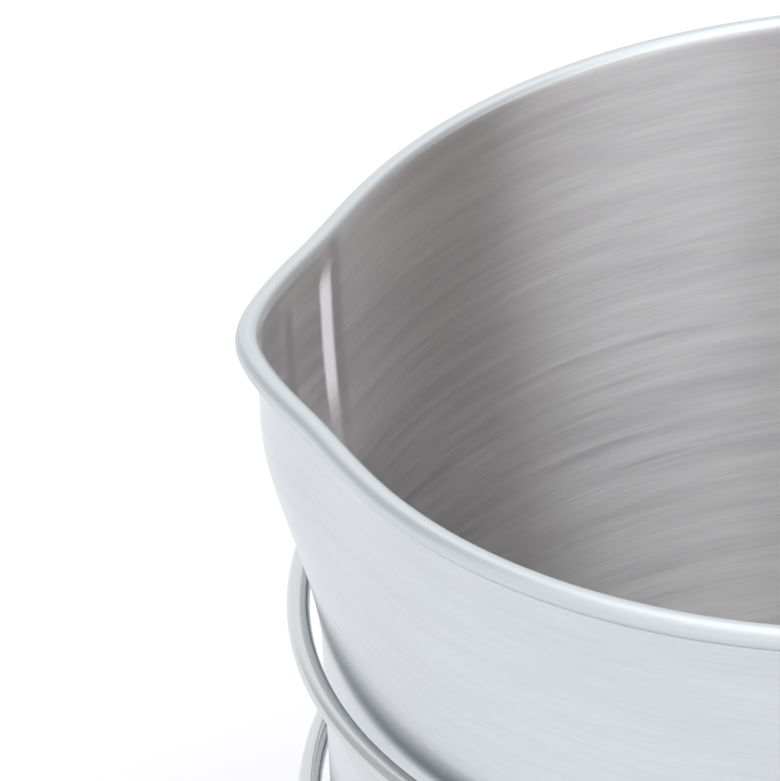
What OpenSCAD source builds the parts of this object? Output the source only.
// Cooking pot with a pressed pouring spout, a curled rim and two wire handles that fold round its wall.
// Millimetres. The origin is the middle of the underside, +Z is up and the spout points along -X.

/* [Pot] */
// Inner diameter of the wall
inner_d = 150; // [120:1:200]
// Height from the surface it stands on to the top of the rim
pot_h = 130; // [112:1:180]
// Thickness of the drawn sheet
sheet = 0.6; // [0.5:0.05:0.9]
// Inner radius of the corner between the base and the wall
corner_r = 9; // [4:0.5:16]
// Outer diameter of the curled rim
rim_d = 3.2; // [2.8:0.1:5]
// Gap between the free edge of the curl and the wall
curl_gap = 0.4; // [0.2:0.05:0.6]

/* [Spout] */
// How far the spout's tip stands out past the round rim
spout_reach = 6.05; // [3:0.05:9]
// Angle from the spout's middle to where a flank meets the wall, in degrees
spout_half_angle = 16.7; // [12:0.1:20]
// Angle over which the spout's tip is rounded, in degrees
spout_tip_angle = 3.7; // [2:0.1:6]
// Depth of the hollow blend where a flank runs into the wall
spout_blend = 1.9; // [0.5:0.1:3]
// Depth below the rim over which the spout keeps its full reach
spout_straight = 12; // [6:1:18]
// Depth below the rim at which the spout has faded into the wall
spout_depth = 42; // [36:1:55]

/* [Handles] */
// Diameter of the handle wire
wire_d = 3; // [2.5:0.1:4]
// Gap between the wall and a folded wire
wire_gap = 1.3; // [0.9:0.1:3]
// Height between the middles of a loop's two strands
loop_h = 29.5; // [26:0.5:40]
// How far the upper strand lies above the foot of the spout
strand_rise = 3; // [1:0.5:4]
// Angle that a strand runs round the pot between its bends, in degrees
strand_angle = 90; // [50:1:120]
// Bend radius of the wire at the free end
end_bend_r = 10; // [6:0.5:12]
// Bend radius of the wire beside the hinge
hinge_bend_r = 5; // [4:0.5:6]

/* [Bracket] */
// Distance between the two hinge axes
hinge_spacing = 25; // [20:0.5:32]
// Thickness of the bracket's plate
plate_t = 1; // [0.8:0.1:1.5]
// Wall thickness of a knuckle
knuckle_wall = 0.9; // [0.6:0.1:1.5]
// Radial running clearance of a wire end in its knuckle
pin_clearance = 0.05; // [0.02:0.01:0.1]
// Gap between a knuckle's end and the bend of the wire
knuckle_end_gap = 0.5; // [0.3:0.1:1]
// Radius of the plate's corners
plate_corner_r = 3; // [1:0.5:4]
// How far the plate reaches above and below the knuckles
plate_margin = 3; // [1:0.5:4]
// How far the leaf that turns into a knuckle stops short of its ends
leaf_inset = 0.5; // [0.3:0.1:1]

/* [Hidden] */
$fn = 96;
overrun = 1;

inner_r = inner_d / 2;
outer_r = inner_r + sheet;
rim_r = rim_d / 2;
rim_z = pot_h - rim_r;
curl_end_angle = 90 + asin((rim_r - sheet - curl_gap) / rim_r);

// The spout's sector ends at this angle from its middle. It takes more columns of facets than the rest.
sector_angle = 29;
sector_columns = 22;
slope_turn = 0.5;
plain_columns = 54;
corner_steps = 5;
fade_rows = 7;
curl_steps = 10;

wire_r = wire_d / 2;
strand_r = outer_r + wire_gap + wire_r;
top_z = rim_z - spout_depth + strand_rise;
low_z = top_z - loop_h;
hinge_r = sqrt(pow(strand_r, 2) + pow(hinge_bend_r, 2));
hinge_angle = asin(hinge_spacing / 2 / hinge_r);
strand_start = hinge_angle + atan(hinge_bend_r / strand_r);

bore_r = wire_r + pin_clearance;
knuckle_r = bore_r + knuckle_wall;
knuckle_h = loop_h - 2 * hinge_bend_r - 2 * knuckle_end_gap;
knuckle_z = low_z + hinge_bend_r + knuckle_end_gap;
pin_share = 0.38;
pin_len = knuckle_h * pin_share;

// Eases from 0 to 1 as t goes from 0 to 1, level at both ends.
function ease(t) = t <= 0 ? 0 : t >= 1 ? 1 : t * t * (3 - 2 * t);

// An angle with a rounded bottom in place of the sharp turn at zero.
function soft_angle(a) = sqrt(pow(a, 2) + pow(spout_tip_angle, 2)) - spout_tip_angle;

// Straight flanks that fall from the tip to nothing at the half angle, and on below it.
function flank(a) = spout_reach * (1 - soft_angle(a) / soft_angle(spout_half_angle));

// How far the rim stands out past its circle at an angle from the spout's middle.
function reach_at(a) =
    (flank(a) + sqrt(pow(flank(a), 2) + pow(spout_blend, 2))) / 2
    * (1 - ease((abs(a) - spout_half_angle) / (sector_angle - spout_half_angle)));

// The same at a depth below the rim.
function bulge(a, depth) = reach_at(a) * (1 - ease((depth - spout_straight) / (spout_depth - spout_straight)));

// How much longer a radial cut through the sheet is than a square one, so the flanks keep its thickness.
// The flank's slope is measured between two angles, each slope_turn away.
function slant(a, depth) =
    let (rise = bulge(a + slope_turn, depth) - bulge(a - slope_turn, depth))
    sqrt(1 + pow(rise / (2 * slope_turn * PI / 180 * inner_r), 2));

// One face of the sheet in section, from the base's flat round the corner, up the wall and round the curl,
// as [distance out from the wall's inner face, height] points. side is 0 for the face that holds the food
// and 1 for the other one, which becomes the hollow of the curl.
function sheet_chain(side) = concat(
    [for (i = [0 : corner_steps]) let (a = -90 + 90 * i / corner_steps, r = corner_r + side * sheet)
        [-corner_r + r * cos(a), sheet + corner_r + r * sin(a)]],
    [for (i = [0 : fade_rows])
        [side * sheet, rim_z - spout_depth + (spout_depth - spout_straight) * i / fade_rows]],
    [for (i = [0 : curl_steps]) let (a = 180 - (180 + curl_end_angle) * i / curl_steps, r = rim_r - side * sheet)
        [rim_r + r * cos(a), rim_z + r * sin(a)]]
);
chain_len = len(sheet_chain(0));
section = concat(sheet_chain(0), [for (i = [chain_len - 1 : -1 : 0]) sheet_chain(1)[i]]);

// The section at an angle from the spout's middle, set out by the bulge at each height.
function section_at(a) =
    [for (p = section)
        let (depth = rim_z - p[1], r = inner_r + bulge(a, depth) + p[0] * slant(a, depth))
        [-r * cos(a), r * sin(a), p[1]]];

column_angles = concat(
    [for (i = [0 : sector_columns - 1]) sector_angle * (2 * i / sector_columns - 1)],
    [for (i = [0 : plain_columns - 1]) sector_angle + (360 - 2 * sector_angle) * i / plain_columns]
);

// The whole shell is one skin: its sections all round, and a fan of triangles on each side of the base.
module pot_body() {
    n = len(section);
    columns = len(column_angles);
    inside_middle = columns * n;
    color("lightsteelblue") polyhedron(
        points = concat(
            [for (a = column_angles) each section_at(a)],
            [[0, 0, sheet], [0, 0, 0]]
        ),
        faces = [for (c = [0 : columns - 1]) let (this = c * n, next = (c + 1) % columns * n) each concat(
            [[inside_middle, this, next], [inside_middle + 1, next + n - 1, this + n - 1]],
            [for (k = [0 : n - 2]) each [
                [this + k, this + k + 1, next + k + 1],
                [this + k, next + k + 1, next + k]
            ]]
        )]
    );
}

// Stands where a strand meets a bend: -Y points out of the pot and -X on towards the loop's free end.
module at_far_bend() {
    rotate([0, 0, -strand_angle])
        children();
}

// The part of a strand's circle between its two bends.
module strand(z) {
    translate([0, 0, z])
        mirror([1, 0, 0])
            rotate([0, 0, -90])
                rotate_extrude(angle = strand_angle)
                    translate([strand_r, 0])
                        circle(r = wire_r);
}

// A quarter bend that leaves a strand towards +X and turns up or down.
module quarter_bend(z, bend_r, up) {
    translate([0, -strand_r, z + up * bend_r])
        rotate([90, 0, 0])
            rotate([0, 0, up > 0 ? 270 : 0])
                rotate_extrude(angle = 90)
                    translate([bend_r, 0])
                        circle(r = wire_r);
}

// An upright run of wire at the end of a bend.
module upright(bend_r, z, h) {
    translate([bend_r, -strand_r, z])
        cylinder(r = wire_r, h = h);
}

// The upper and the lower bend at one end of the loop, which turn towards each other.
module loop_end(bend_r) {
    quarter_bend(low_z, bend_r, 1);
    quarter_bend(top_z, bend_r, -1);
}

module handle_wire() {
    pin_run = knuckle_end_gap + pin_len;
    rotate([0, 0, -strand_start]) {
        strand(low_z);
        strand(top_z);
        loop_end(hinge_bend_r);
        upright(hinge_bend_r, low_z + hinge_bend_r, pin_run);
        upright(hinge_bend_r, top_z - hinge_bend_r - pin_run, pin_run);
        at_far_bend() mirror([1, 0, 0]) {
            loop_end(end_bend_r);
            upright(end_bend_r, low_z + end_bend_r, loop_h - 2 * end_bend_r);
        }
    }
}

module left_handle() {
    color("silver") handle_wire();
}

module right_handle() {
    color("silver") mirror([1, 0, 0]) handle_wire();
}

// The outline of the bracket's plate, seen from outside the pot.
module plate_outline() {
    half_w = hinge_spacing / 2 - knuckle_r - plate_margin / 2;
    half_h = knuckle_h / 2 + plate_margin;
    square([2 * half_w, 2 * (half_h - plate_corner_r)], center = true);
    square([2 * (half_w - plate_corner_r), 2 * half_h], center = true);
    for (x = [-1, 1]) for (y = [-1, 1])
        translate([x * (half_w - plate_corner_r), y * (half_h - plate_corner_r)])
            circle(r = plate_corner_r);
    square([hinge_spacing, knuckle_h - 2 * leaf_inset], center = true);
}

module bracket_plate() {
    intersection() {
        translate([0, 0, knuckle_z - plate_margin])
            difference() {
                cylinder(r = outer_r + plate_t, h = knuckle_h + 2 * plate_margin);
                translate([0, 0, -overrun])
                    cylinder(r = outer_r, h = knuckle_h + 2 * (plate_margin + overrun));
            }
        translate([0, -inner_r / 2, knuckle_z + knuckle_h / 2])
            rotate([90, 0, 0])
                linear_extrude(height = inner_r)
                    plate_outline();
    }
}

// Stands at a hinge axis, turned so that +X points straight out of the pot.
module at_hinges() {
    for (side = [-1, 1])
        rotate([0, 0, 270 + side * hinge_angle])
            translate([hinge_r, 0, 0])
                children();
}

module handle_bracket() {
    leaf = hinge_r - outer_r - plate_t / 2;
    color("gray") difference() {
        union() {
            bracket_plate();
            at_hinges() {
                translate([0, 0, knuckle_z])
                    cylinder(r = knuckle_r, h = knuckle_h);
                translate([-leaf, -plate_t / 2, knuckle_z + 2 * leaf_inset])
                    cube([leaf, plate_t, knuckle_h - 4 * leaf_inset]);
            }
        }
        at_hinges() {
            translate([0, 0, knuckle_z - overrun])
                cylinder(r = bore_r, h = knuckle_h + 2 * overrun);
        }
    }
}

pot_body();
handle_bracket();
left_handle();
right_handle();
